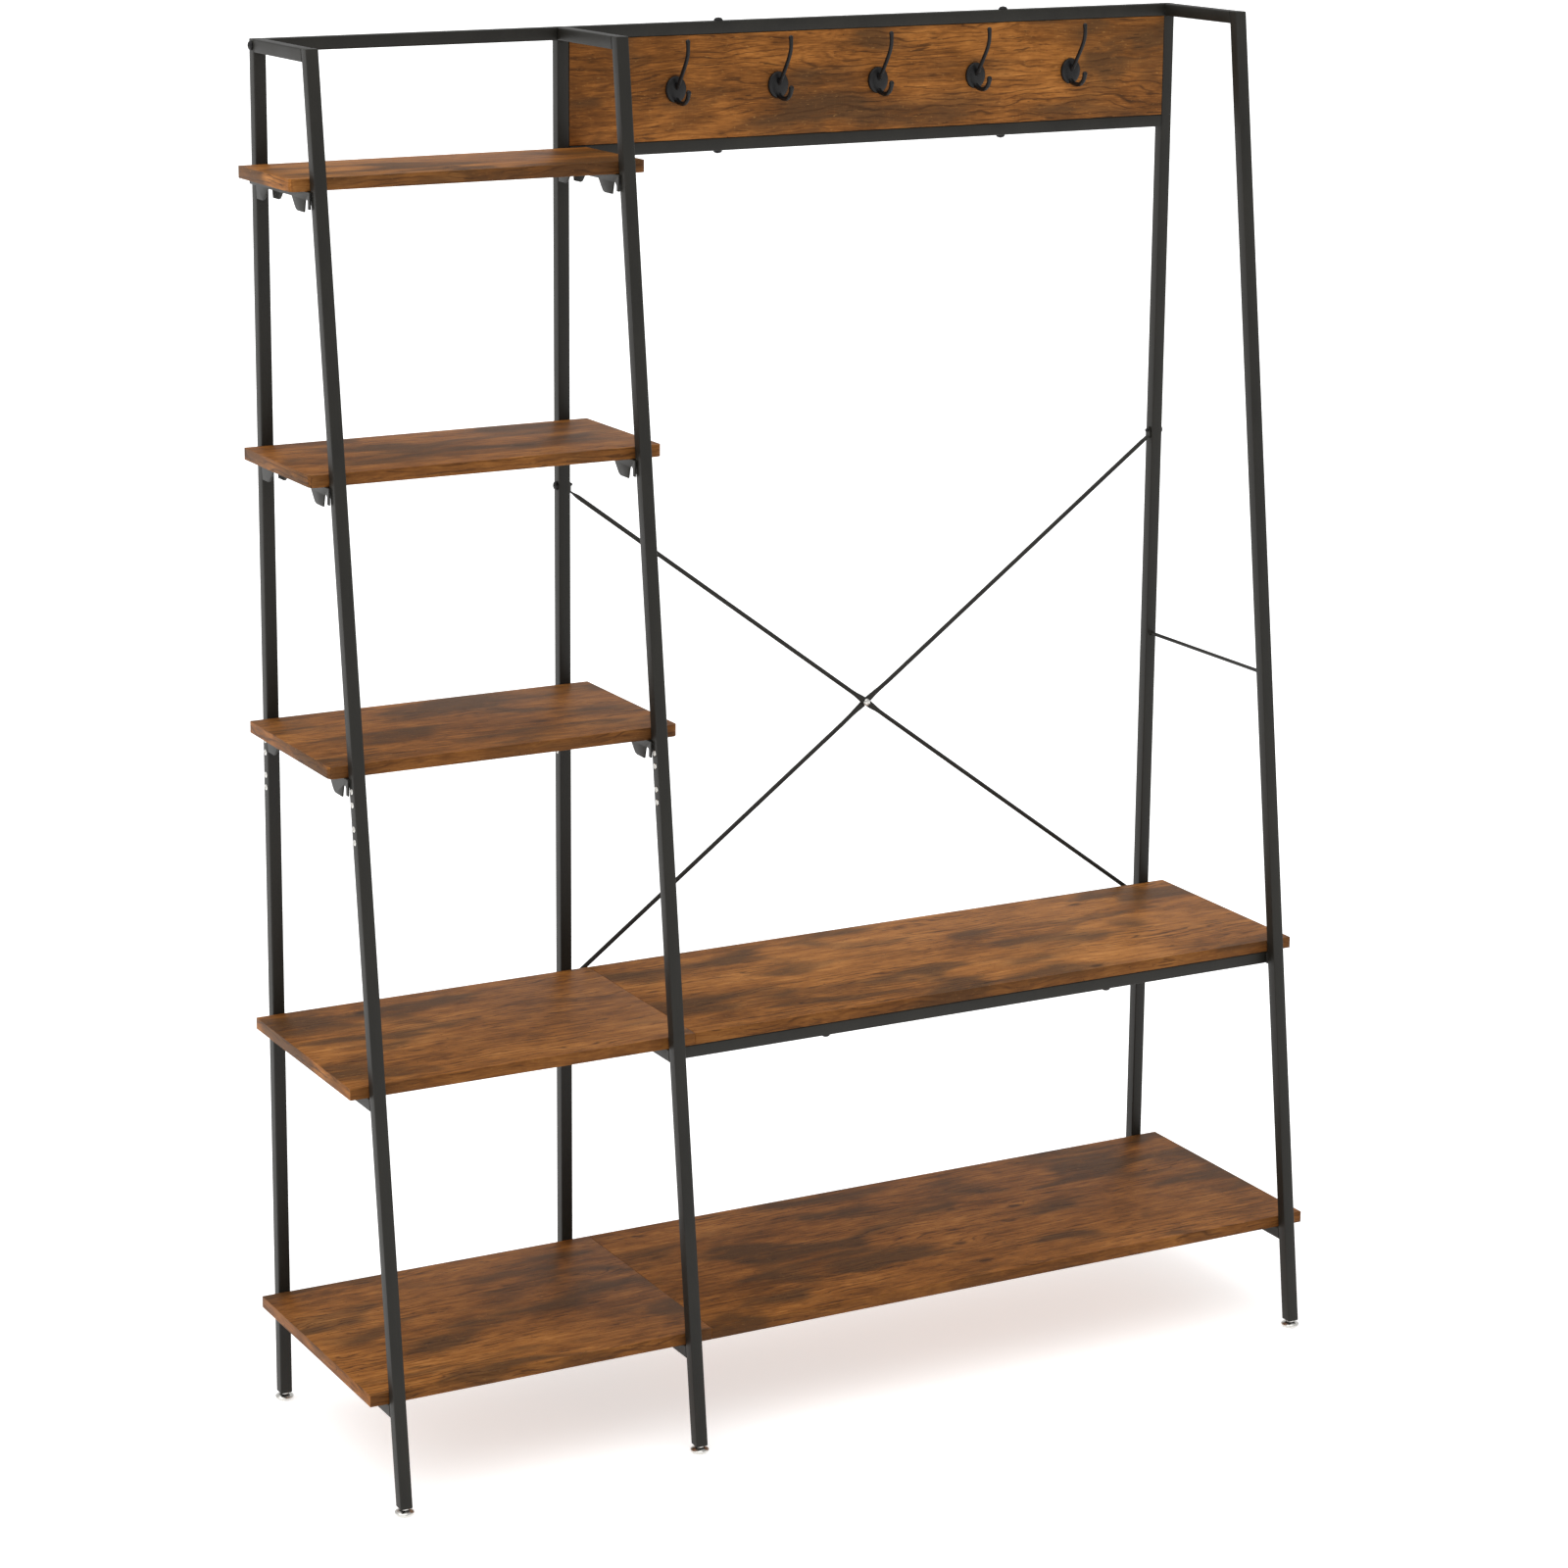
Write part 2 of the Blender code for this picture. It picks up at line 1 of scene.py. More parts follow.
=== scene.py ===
"""The looks of the hall tree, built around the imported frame. Metres, in the CAD's own frame."""

import json
import math

import bmesh
import bpy
from mathutils import Euler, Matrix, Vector


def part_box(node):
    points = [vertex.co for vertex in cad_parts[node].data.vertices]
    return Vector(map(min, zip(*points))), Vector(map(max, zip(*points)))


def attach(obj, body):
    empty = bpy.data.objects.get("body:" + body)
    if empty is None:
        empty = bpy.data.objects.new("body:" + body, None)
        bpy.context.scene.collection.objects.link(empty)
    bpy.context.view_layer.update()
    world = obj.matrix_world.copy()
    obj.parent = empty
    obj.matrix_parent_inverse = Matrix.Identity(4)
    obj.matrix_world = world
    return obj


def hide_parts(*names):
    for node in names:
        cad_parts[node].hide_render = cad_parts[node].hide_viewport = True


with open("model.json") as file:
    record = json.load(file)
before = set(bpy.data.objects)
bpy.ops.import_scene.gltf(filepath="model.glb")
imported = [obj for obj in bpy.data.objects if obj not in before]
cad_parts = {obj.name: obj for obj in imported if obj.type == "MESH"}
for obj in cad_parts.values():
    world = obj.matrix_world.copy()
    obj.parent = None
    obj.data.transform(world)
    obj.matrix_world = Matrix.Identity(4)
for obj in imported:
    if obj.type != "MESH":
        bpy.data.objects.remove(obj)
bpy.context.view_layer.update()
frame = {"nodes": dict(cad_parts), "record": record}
BODIES = frame["record"]["behaviour"]["bodies"]
BODY_OF = {node: body for body, nodes in BODIES.items() for node in nodes}

GAP = 0.0003  # between neighbouring pieces in the CAD
SHARP_ANGLE = math.radians(38)  # an edge that turns more than this is shaded sharp

# ---------------------------------------------------------------- shader nodes


class Shader:
    """A material's node tree, with short ways to add and link nodes."""

    def __init__(self, name, roughness, metallic=0.0):
        self.material = bpy.data.materials.new(name)
        self.material.use_nodes = True
        self.tree = self.material.node_tree
        self.surface = self.tree.nodes["Principled BSDF"]
        self.surface.inputs["Roughness"].default_value = roughness
        self.surface.inputs["Metallic"].default_value = metallic

    def link(self, value, socket):
        if isinstance(value, bpy.types.NodeSocket):
            self.tree.links.new(value, socket)
        else:
            socket.default_value = value

    def node(self, kind, *values, **settings):
        """A node with its first inputs given in order, and attributes or further inputs by name."""
        node = self.tree.nodes.new(kind)
        for key, value in settings.items():
            if hasattr(node, key):
                setattr(node, key, value)
        for socket, value in zip(node.inputs, values):
            if value is not None:
                self.link(value, socket)
        for key, value in settings.items():
            if not hasattr(node, key):
                self.link(value, node.inputs[key.replace("_", " ")])
        return node

    def maths(self, operation, *values):
        return self.node("ShaderNodeMath", *values, operation=operation).outputs[0]

    def vector(self, operation, *values):
        return self.node("ShaderNodeVectorMath", *values, operation=operation).outputs[0]

    def stretched(self, coordinates, scale):
        return self.vector("MULTIPLY", coordinates, scale)

    def noise(self, coordinates, scale, detail=3.0, roughness=0.55, distortion=0.0):
        """Noise from 0 to 1 around 0.5, on coordinates stretched by a scale for each axis."""
        place = self.stretched(coordinates, scale)
        node = self.node("ShaderNodeTexNoise", Vector=place, Scale=1.0)
        node.inputs["Detail"].default_value = detail
        node.inputs["Roughness"].default_value = roughness
        node.inputs["Distortion"].default_value = distortion
        return node.outputs["Fac"]

    def ramp(self, value, low, high):
        """A smooth step from 0 to 1."""
        node = self.node("ShaderNodeMapRange", interpolation_type="SMOOTHSTEP")
        self.link(value, node.inputs["Value"])
        node.inputs["From Min"].default_value = low
        node.inputs["From Max"].default_value = high
        return node.outputs["Result"]

    def colours(self, value, stops):
        """A colour ramp of place and colour pairs."""
        node = self.node("ShaderNodeValToRGB", value)
        elements = node.color_ramp.elements
        while len(elements) < len(stops):
            elements.new(1.0)
        for element, (place, colour) in zip(elements, stops):
            element.position = place
            element.color = (*colour, 1)
        return node.outputs["Color"]

    def tinted(self, colour, mask, strength, shade):
        """A colour mixed with a shade where a mask says, as far as a strength."""
        node = self.tree.nodes.new("ShaderNodeMix")
        node.data_type = "RGBA"
        self.link(self.maths("MULTIPLY", mask, strength), node.inputs["Factor"])
        # Inputs 6 and 7 and output 2 are the colour ones.
        self.link(colour, node.inputs[6])
        self.link((*shade, 1), node.inputs[7])
        return node.outputs[2]

    def coordinates(self):
        return self.tree.nodes.new("ShaderNodeTexCoord")

    def bump(self, height, strength, distance):
        """Small relief in the shading. distance is how far a height of 1 stands out, in metres."""
        node = self.node("ShaderNodeBump")
        node.inputs["Strength"].default_value = strength
        node.inputs["Distance"].default_value = distance
        self.link(height, node.inputs["Height"])
        self.tree.links.new(node.outputs["Normal"], self.surface.inputs["Normal"])

    def set(self, socket, value):
        self.link(value, self.surface.inputs[socket])


# The print's colours, from dark to light, by how light the print is
BROWNS = (
    (0.22, (0.085, 0.032, 0.0080)),
    (0.38, (0.160, 0.058, 0.0130)),
    (0.50, (0.252, 0.093, 0.0200)),
    (0.64, (0.368, 0.144, 0.0320)),
    (0.84, (0.530, 0.233, 0.0640)),
)
PATCH_SHADE = (0.062, 0.032, 0.0140)
LINE_SHADE = (0.048, 0.019, 0.0065)
KNOT_SHADE = (0.035, 0.016, 0.0070)
CRACK_SHADE = (0.030, 0.014, 0.0060)
SAWN_SHADE = (0.50, 0.25, 0.08)
FLECK_SHADE = (0.52, 0.26, 0.08)
# Painted shade for the boards' long edges, which get less light than their tops
EDGE_PAINTED_SHADE = (0.055, 0.022, 0.008)
MEAN_LIGHT = 0.48  # what the four noise layers add up to, less the middle of BROWNS
LINE_PHASE = 760.0  # of the grain lines' sine, in radians per metre across the board
KNOT_PUSH = 26.0  # how far a knot moves that phase
WANDER_PUSH = 30.0  # how far the slow wander of the grain moves it


def rustic_wood(name, offset, tone, has_painted_shade_edges):
    """A printed board: brown with dark patches, streaks, grain lines that bend round knots, and cracks.

    offset shifts the pattern, so that no two boards are alike, and tone is how light the board is.
    """
    s = Shader(name, 0.5)
    source = s.coordinates()
    normal = s.node("ShaderNodeSeparateXYZ", source.outputs["Normal"])
    place = s.node("ShaderNodeSeparateXYZ", source.outputs["Object"])
    # The grain on a board's short edges runs along the edge.
    turned = s.node("ShaderNodeCombineXYZ", place.outputs["Y"], place.outputs["X"], place.outputs["Z"])
    at_side = s.maths("GREATER_THAN", s.maths("ABSOLUTE", normal.outputs["X"]), 0.6)
    choice = s.node("ShaderNodeMix", data_type="VECTOR")
    s.link(at_side, choice.inputs[0])
    s.link(source.outputs["Object"], choice.inputs[4])
    s.link(turned.outputs[0], choice.inputs[5])
    plain = s.vector("ADD", choice.outputs[1], offset)

    # The grain follows coordinates that wander a little.
    wander = s.node("ShaderNodeTexNoise", Vector=s.stretched(plain, (5.0, 16.0, 16.0)), Scale=1.0)
    wander.inputs["Detail"].default_value = 2.5
    centred = s.vector("SUBTRACT", wander.outputs["Color"], (0.5, 0.5, 0.5))
    grain = s.vector("ADD", plain, s.stretched(centred, (0.03, 0.022, 0.022)))

    # Knots: a few of the cells of a stretched Voronoi texture
    cells = s.node("ShaderNodeTexVoronoi", Vector=s.stretched(grain, (6.5, 15.0, 0.02)), Scale=1.0)
    distance = cells.outputs["Distance"]
    chosen = s.node("ShaderNodeSeparateColor", cells.outputs["Color"])
    is_knot = s.ramp(chosen.outputs["Red"], 0.62, 0.66)
    near = s.maths("MULTIPLY", is_knot, s.maths("POWER", math.e, s.maths("MULTIPLY", distance, -7.0)))
    core = s.maths("MULTIPLY", is_knot, s.maths("SUBTRACT", 1.0, s.ramp(distance, 0.035, 0.11)))

    # Grain lines: bands across the board, pushed aside by the knots
    across = s.node("ShaderNodeSeparateXYZ", grain)
    phase = s.maths("MULTIPLY", s.maths("ADD", across.outputs["Y"], across.outputs["Z"]), LINE_PHASE)
    phase = s.maths("ADD", phase, s.maths("MULTIPLY", near, KNOT_PUSH))
    slow = s.noise(grain, (7.0, 30.0, 30.0))
    phase = s.maths("ADD", phase, s.maths("MULTIPLY", slow, WANDER_PUSH))
    wave = s.maths("ADD", s.maths("MULTIPLY", s.maths("SINE", phase), 0.5), 0.5)
    broken = s.ramp(s.noise(grain, (26.0, 120.0, 120.0), 3.0), 0.34, 0.52)
    lines = s.maths("MULTIPLY", s.maths("POWER", wave, 8.0), broken)
    where_lines = s.ramp(s.noise(plain, (4.0, 17.0, 17.0), 2.0), 0.42, 0.58)
    lines = s.maths("MULTIPLY", lines, s.maths("MAXIMUM", where_lines, near))

    # How light the print is: broad zones, dark patches, and finer and finer streaks
    zones = s.noise(plain, (3.2, 9.0, 9.0), 2.0, 0.5)
    patches = s.noise(plain, (6.0, 16.0, 16.0), 2.5, 0.45, 0.5)
    small_patches = s.noise(grain, (18.0, 50.0, 50.0), 4.0, 0.6)
    streaks = s.noise(grain, (9.0, 170.0, 170.0), 3.0, 0.6)
    fibres = s.noise(grain, (50.0, 800.0, 800.0), 2.0, 0.6)
    light = tone - MEAN_LIGHT
    for layer, weight in ((zones, 0.50), (small_patches, 0.52), (streaks, 0.46), (fibres, 0.48)):
        light = s.maths("ADD", light, s.maths("MULTIPLY", layer, weight))
    colour = s.colours(light, BROWNS)

    # Marks over the print, each with how strong it is
    dark = s.ramp(patches, 0.46, 0.64)
    dark = s.maths("MULTIPLY", dark, s.ramp(small_patches, 0.22, 0.52))
    colour = s.tinted(colour, dark, 0.80, PATCH_SHADE)
    colour = s.tinted(colour, lines, 0.80, LINE_SHADE)
    colour = s.tinted(colour, core, 0.80, KNOT_SHADE)
    cracks = s.ramp(s.noise(grain, (22.0, 260.0, 260.0), 3.0), 0.62, 0.68)
    colour = s.tinted(colour, cracks, 0.66, CRACK_SHADE)
    specks = s.ramp(s.noise(plain, (190.0, 340.0, 340.0), 2.0), 0.68, 0.74)
    colour = s.tinted(colour, specks, 0.70, CRACK_SHADE)
    # Faint rough-sawn marks across the grain, in places, and small pale flecks
    where_sawn = s.ramp(s.noise(plain, (9.0, 14.0, 14.0), 2.0), 0.5, 0.62)
    sawn = s.ramp(s.noise(plain, (900.0, 60.0, 60.0), 1.0), 0.52, 0.7)
    colour = s.tinted(colour, s.maths("MULTIPLY", sawn, where_sawn), 0.03, SAWN_SHADE)
    flecks = s.ramp(s.noise(grain, (150.0, 500.0, 500.0), 2.0), 0.62, 0.78)
    colour = s.tinted(colour, flecks, 0.30, FLECK_SHADE)
    if has_painted_shade_edges:
        # Painted shade: the strip on the long edges, front and back, is tinted darker than the top, standing
        # in for the edges getting less light.
        painted_shade_at_edge = s.maths("GREATER_THAN", s.maths("ABSOLUTE", normal.outputs["Y"]), 0.7)
        colour = s.tinted(colour, painted_shade_at_edge, 0.52, EDGE_PAINTED_SHADE)
    s.set("Base Color", colour)
    s.set("Roughness", s.maths("ADD", s.maths("MULTIPLY", fibres, 0.16), 0.42))
    s.surface.inputs["Specular IOR Level"].default_value = 0.07
    height = s.maths("SUBTRACT", s.maths("MULTIPLY", fibres, 0.6), s.maths("ADD", lines, cracks))
    s.bump(height, 0.35, 0.00025)
    return s.material


def powder_coat():
    """Satin black paint with a fine orange-peel skin and a little dust."""
    s = Shader("powder_coat_black", 0.5)
    place = s.coordinates().outputs["Object"]
    dust = s.noise(place, (22.0, 22.0, 9.0), 4.0, 0.6)
    colour = s.colours(dust, [(0.3, (0.0085, 0.0076, 0.0055)), (0.7, (0.0150, 0.0137, 0.0103))])
    s.surface.inputs["Specular IOR Level"].default_value = 0.26
    peel = s.noise(place, (1300.0, 1300.0, 1300.0), 2.0)
    s.set("Base Color", colour)
    s.set("Roughness", s.maths("ADD", s.maths("MULTIPLY", dust, 0.22), 0.36))
    s.bump(peel, 0.22, 0.00012)
    return s.material


def black_hardware():
    """Smoother black, on the bolts and hooks."""
    s = Shader("black_hardware", 0.4)
    place = s.coordinates().outputs["Object"]
    worn = s.noise(place, (160.0, 160.0, 160.0), 4.0, 0.65)
    colour = s.colours(worn, [(0.35, (0.0034, 0.0032, 0.0034)), (0.72, (0.0075, 0.0071, 0.0073))])
    s.surface.inputs["Specular IOR Level"].default_value = 0.26
    s.set("Base Color", colour)
    s.set("Roughness", s.maths("ADD", s.maths("MULTIPLY", worn, 0.3), 0.24))
    s.bump(s.noise(place, (2200.0, 2200.0, 2200.0), 1.0), 0.12, 0.00008)
    return s.material


def bright_zinc():
    """Bright plated steel with faint rings and stains."""
    s = Shader("bright_zinc", 0.25, 1.0)
    place = s.coordinates().outputs["Object"]
    stain = s.noise(place, (190.0, 190.0, 190.0), 4.0, 0.6)
    colour = s.colours(stain, [(0.3, (0.50, 0.49, 0.46)), (0.7, (0.78, 0.77, 0.74))])
    s.set("Base Color", colour)
    s.set("Roughness", s.maths("ADD", s.maths("MULTIPLY", stain, 0.26), 0.14))
    s.bump(s.noise(place, (900.0, 900.0, 4200.0), 2.0), 0.10, 0.00008)
    return s.material


BLACK = powder_coat()
HARDWARE = black_hardware()
ZINC = bright_zinc()

# ---------------------------------------------------------------- pieces


def add_piece(name, bm, material, body):
    """An object from a bmesh in the row frame, which rides on a body."""
    mesh = bpy.data.meshes.new(name)
    bmesh.ops.recalc_face_normals(bm, faces=bm.faces)
    bm.to_mesh(mesh)
    bm.free()
    mesh.materials.append(material)
    mesh.shade_smooth()
    mesh.set_sharp_from_angle(angle=SHARP_ANGLE)
    piece = bpy.data.objects.new(name, mesh)
    bpy.context.scene.collection.objects.link(piece)
    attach(piece, body)
    return piece


def replace_node(node, bm, material):
    """A piece that stands for a CAD node."""
    piece = add_piece(node + "_look", bm, material, BODY_OF[node])
    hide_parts(node)


def loft(bm, rings):
    """Faces through rings of points, and over the two ends."""
    loops = [[bm.verts.new(point) for point in ring] for ring in rings]
    for loop, following in zip(loops, loops[1:]):
        for i in range(len(loop)):
            bm.faces.new((loop[i - 1], loop[i], following[i], following[i - 1]))
    bm.faces.new(loops[0])
    bm.faces.new(loops[-1])


def ring_round(seat, axis, along, radii):
    """Points at even angles round an axis, at a distance along it from a seat. Each radius makes a point."""
    turn = Vector((0, 0, 1)).rotation_difference(Vector(axis)).to_matrix()
    centre = Vector(seat) + Vector(axis) * along
    ring = []
    for i, radius in enumerate(radii):
        angle = 2 * math.pi * i / len(radii)
        ring.append(centre + turn @ Vector((radius * math.cos(angle), radius * math.sin(angle), 0)))
    return ring


def turned_rings(profile, seat, axis, sides=32):
    """Rings for a turned shape. The profile's pairs are a distance along the axis and a radius."""
    return [ring_round(seat, axis, along, [radius] * sides) for along, radius in profile]


# ---------------------------------------------------------------- square tubes

TUBE_CORNER = 0.0017  # radius of a square tube's corners
TUBE_STEPS = 4
END_EDGE = 0.0005  # how far the edges of a tube's ends are broken
BEAD = 0.0021  # size of a weld bead's section
BEAD_LENGTH = 0.0132
BEAD_ROOT = 0.0004  # how far a bead reaches up past a tube's underside
BEAD_STEPS = 22
BEAD_RIPPLES = 9
POST_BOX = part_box("left_front_post")
REAR_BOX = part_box("left_rear_post")
TUBE = REAR_BOX[1].x - REAR_BOX[0].x
POST_DEPTH = POST_BOX[1].y - POST_BOX[0].y
POST_HEIGHT = POST_BOX[1].z - POST_BOX[0].z
# On the level, a leaning tube is TUBE * sqrt(1 + LEAN * LEAN) deep. The box's own slope is a little more
# than LEAN, which adds less than 0.02 mm here.
LEANING_TUBE = TUBE * math.sqrt(1 + (POST_DEPTH / POST_HEIGHT) ** 2)
LEAN = (POST_DEPTH - LEANING_TUBE) / POST_HEIGHT  # metres back for each metre up
FRAMES = ("left", "middle", "right")
RAILS = ("back_top_rail_left", "back_top_rail_right", "panel_lower_rail", "bench_front_rail")


def tube_outline(half):
    """A square with round corners, anticlockwise. half is half of its side."""
    points = []
    for quarter, (u, v) in enumerate(((1, 1), (-1, 1), (-1, -1), (1, -1))):
        for step in range(TUBE_STEPS + 1):
            angle = math.pi / 2 * (quarter + step / TUBE_STEPS)
            across = u * (half - TUBE_CORNER) + TUBE_CORNER * math.cos(angle)
            up = v * (half - TUBE_CORNER) + TUBE_CORNER * math.sin(angle)
            points.append((across, up))
    return points


def tube_rings(start, end, place):
    """Sections of a tube whose end edges are broken. place gives a section's points at a distance."""
    stations = [(start, END_EDGE), (start + END_EDGE, 0), (end - END_EDGE, 0), (end, END_EDGE)]
    return [place(along, tube_outline(TUBE / 2 - inset)) for along, inset in stations]


def rear_post_look(node):
    low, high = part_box(node)
    middle = (low + high) / 2

    def place(z, section):
        return [(middle.x + u, middle.y + v, z) for u, v in section]

    bm = bmesh.new()
    loft(bm, tube_rings(low.z, high.z, place))
    replace_node(node, bm, BLACK)


def front_post_look(node):
    low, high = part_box(node)
    x = (low.x + high.x) / 2
    deep = LEANING_TUBE / TUBE

    def place(z, section):
        y = low.y + LEANING_TUBE / 2 + LEAN * (z - low.z)
        return [(x + u, y + v * deep, z) for u, v in section]

    bm = bmesh.new()
    loft(bm, tube_rings(low.z, high.z, place))
    replace_node(node, bm, BLACK)


def rail_look(node):
    low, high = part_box(node)
    middle = (low + high) / 2

    def place(x, section):
        return [(x, middle.y + u, middle.z + v) for u, v in section]

    bm = bmesh.new()
    loft(bm, tube_rings(low.x, high.x, place))
    replace_node(node, bm, BLACK)


def bead(bm, x, y, z, outward, lean):
    """A short rippled weld bead along X, under a cross tube's end.

    y is the post's face that it lies on, and outward is the way out of the post. lean is the face's.
    """
    rings = []
    for step in range(BEAD_STEPS + 1):
        share = step / BEAD_STEPS
        along = x + BEAD_LENGTH * (share - 0.5)
        size = BEAD * (0.88 + 0.12 * abs(math.cos(BEAD_RIPPLES * math.pi * share)))
        size *= min(1.0, 0.35 + 6 * min(share, 1 - share))
        ring = [(along, y, z + BEAD_ROOT), (along, y + outward * size, z + BEAD_ROOT)]
        for part in range(1, 4):
            angle = math.pi / 2 * part / 4
            out = size * (1 - math.sin(angle)) + 0.30 * size * math.sin(2 * angle)
            down = size * (1 - math.cos(angle)) + 0.30 * size * math.sin(2 * angle)
            ring.append((along, y + outward * out - lean * down, z - down))
        ring.append((along, y - lean * size, z - size))
        rings.append(ring)
    loft(bm, rings)


def cross_tube_look(node):
    """A tube between two posts, cut to the front post's lean, with a weld bead under each end."""
    low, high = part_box(node)
    x = (low.x + high.x) / 2
    z = (low.z + high.z) / 2

    def place(y, section):
        share = (high.y - y) / (high.y - low.y)
        return [(x + u, y + share * LEAN * (z + v - low.z), z + v) for u, v in section]

    bm = bmesh.new()
    loft(bm, tube_rings(low.y, high.y, place))
    bead(bm, x, low.y - GAP, low.z, 1, LEAN)
    bead(bm, x, high.y + GAP, low.z, -1, 0)
    replace_node(node, bm, BLACK)


def tubes():
    for side in FRAMES:
        rear_post_look(side + "_rear_post")
        front_post_look(side + "_front_post")
        for cross in ("top_rail", "bench_crossbar", "bottom_crossbar"):
            cross_tube_look(f"{side}_{cross}")
    for rail in RAILS:
        rail_look(rail)


def side_rod():
    """A thin rod, flared at both ends, where it is welded on."""
    low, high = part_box("right_side_rod")
    radius = (high.x - low.x) / 2
    middle = (low + high) / 2
    length = high.y - low.y
    bm = bmesh.new()
    profile = [(-0.0002, radius + 0.0011), (0.0008, radius + 0.0004), (0.0022, radius)]
    profile += [(length - along, wide) for along, wide in reversed(profile)]
    loft(bm, turned_rings(profile, (middle.x, low.y, middle.z), (0, 1, 0), 20))
    replace_node("right_side_rod", bm, BLACK)


# ---------------------------------------------------------------- boards and brackets

BRACKET_EDGE = 0.0004  # how far a bracket's edges are broken
WELD_DISTANCE = 0.000005  # points this near each other are one
FLAT_ANGLE = math.radians(1)  # faces that turn less than this are one flat face
FOLD_ANGLE = math.radians(30)  # an edge that turns more than this is broken
BOARD_EDGE = 0.0005  # radius of a board's edges
SHELF_CORNER = 0.008  # radius of a small shelf's front corners
LEAST_RADIUS = 0.00005
CORNER_STEPS = 8


def bracket_look(node):
    """The CAD node's mesh with its flat faces whole and its edges slightly broken."""
    bm = bmesh.new()
    bm.from_mesh(frame["nodes"][node].data)
    bmesh.ops.remove_doubles(bm, verts=bm.verts, dist=WELD_DISTANCE)
    bmesh.ops.dissolve_limit(bm, angle_limit=FLAT_ANGLE, verts=bm.verts, edges=bm.edges)
    sharp = [e for e in bm.edges if len(e.link_faces) == 2 and e.calc_face_angle() > FOLD_ANGLE]
    bmesh.ops.bevel(bm, geom=sharp, offset=BRACKET_EDGE, segments=1, affect="EDGES", clamp_overlap=True)
    replace_node(node, bm, BLACK)


def board_look(node, material):
    """A board from its CAD box, with rounded edges, and round front corners on a shelf."""
    low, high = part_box(node)
    corner = SHELF_CORNER if node.endswith("_shelf") else BOARD_EDGE

    def outline(inset):
        points = []
        left, right = low.x + inset, high.x - inset
        front, back = low.y + inset, high.y - inset
        radius = max(corner - inset, LEAST_RADIUS)
        for quarter, x in ((2, left + radius), (3, right - radius)):
            for step in range(CORNER_STEPS + 1):
                angle = math.pi / 2 * (quarter + step / CORNER_STEPS)
                points.append((x + radius * math.cos(angle), front + radius + radius * math.sin(angle)))
        small = max(BOARD_EDGE - inset, LEAST_RADIUS)
        for quarter, x in ((0, right - small), (1, left + small)):
            for step in range(3):
                angle = math.pi / 2 * (quarter + step / 2)
                points.append((x + small * math.cos(angle), back - small + small * math.sin(angle)))
        return points

    edge = BOARD_EDGE
    levels = [(low.z, edge), (low.z + 0.3 * edge, 0.3 * edge), (low.z + edge, 0)]
    levels += [(high.z - edge, 0), (high.z - 0.3 * edge, 0.3 * edge), (high.z, edge)]
    bm = bmesh.new()
    loft(bm, [[(x, y, z) for x, y in outline(inset)] for z, inset in levels])
    replace_node(node, bm, material)


# ---------------------------------------------------------------- X brace

TAB_THICKNESS = 0.002
TAB_HEIGHT = 0.0145
TAB_HALF_WIDTH = 0.0046
TAB_OVERLAP = 0.0022  # how far a tab runs past the middle of the rod's end
ROD = 0.003  # radius
CROSS_SHIFT = 0.00145  # how far each rod steps aside where they cross
FLATTENED = 0.0028  # a section as thin as this, either way, is squarer than an ellipse
SQUARENESS = 0.6
ROD_SIDES = 24


def rod_sections(half, shift):
    """Sections from a rod's start to its middle.

    Each is a distance along, a half width in the brace's plane, a half thickness in Y, and a shift in Y.
    """
    sections = [(0.0005, 0.0010, 0.0043, 0), (0.004, 0.0011, 0.0043, 0), (0.008, 0.0015, 0.0040, 0)]
    sections += [(0.012, 0.0023, 0.0035, 0), (0.017, 0.0029, 0.0031, 0), (0.022, ROD, ROD, 0)]
    sections += [(half - 0.045, ROD, ROD, 0), (half - 0.027, ROD, 0.0029, 0.6 * shift)]
    sections += [(half - 0.020, 0.0032, 0.0025, shift), (half - 0.016, 0.0037, 0.0018, shift)]
    sections += [(half - 0.011, 0.0043, 0.0013, shift), (half - 0.005, 0.0047, 0.00125, shift)]
    return sections + [(half, 0.0048, 0.00125, shift)]


def brace_look(node):
    """A smooth rod, flattened at its middle and its ends, with a bent tab against each post."""
    low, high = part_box(node)
    middle = (low + high) / 2
    falls = node.endswith("falling")
    foot = TAB_HEIGHT - TAB_OVERLAP
    top, bottom = high.z - foot, low.z + foot
    start = Vector((low.x + TAB_THICKNESS / 2, middle.y, top if falls else bottom))
    end = Vector((high.x - TAB_THICKNESS / 2, middle.y, bottom if falls else top))
    along = end - start
    length = along.length
    along.normalize()
    across = Vector((0, 1, 0)).cross(along)
    sections = rod_sections(length / 2, -CROSS_SHIFT if falls else CROSS_SHIFT)
    sections += [(length - place, *rest) for place, *rest in reversed(sections[:-1])]
    rings = []
    for place, wide, thick, move in sections:
        centre = start + along * place + Vector((0, move, 0))
        power = SQUARENESS if min(thick, wide) <= FLATTENED else 1.0
        ring = []
        for i in range(ROD_SIDES):
            angle = 2 * math.pi * i / ROD_SIDES
            out, side = math.cos(angle), math.sin(angle)
            out = math.copysign(abs(out) ** power, out)
            side = math.copysign(abs(side) ** power, side)
            ring.append(centre + across * (wide * out) + Vector((0, thick * side, 0)))
        rings.append(ring)
    bm = bmesh.new()
    loft(bm, rings)
    for point, x_low in ((start, low.x), (end, high.x - TAB_THICKNESS)):
        up = point.z > middle.z
        first, last = (point.z - TAB_OVERLAP, high.z) if up else (low.z, point.z + TAB_OVERLAP)
        tab(bm, x_low, middle.y, first, last, up)
    replace_node(node, bm, BLACK)


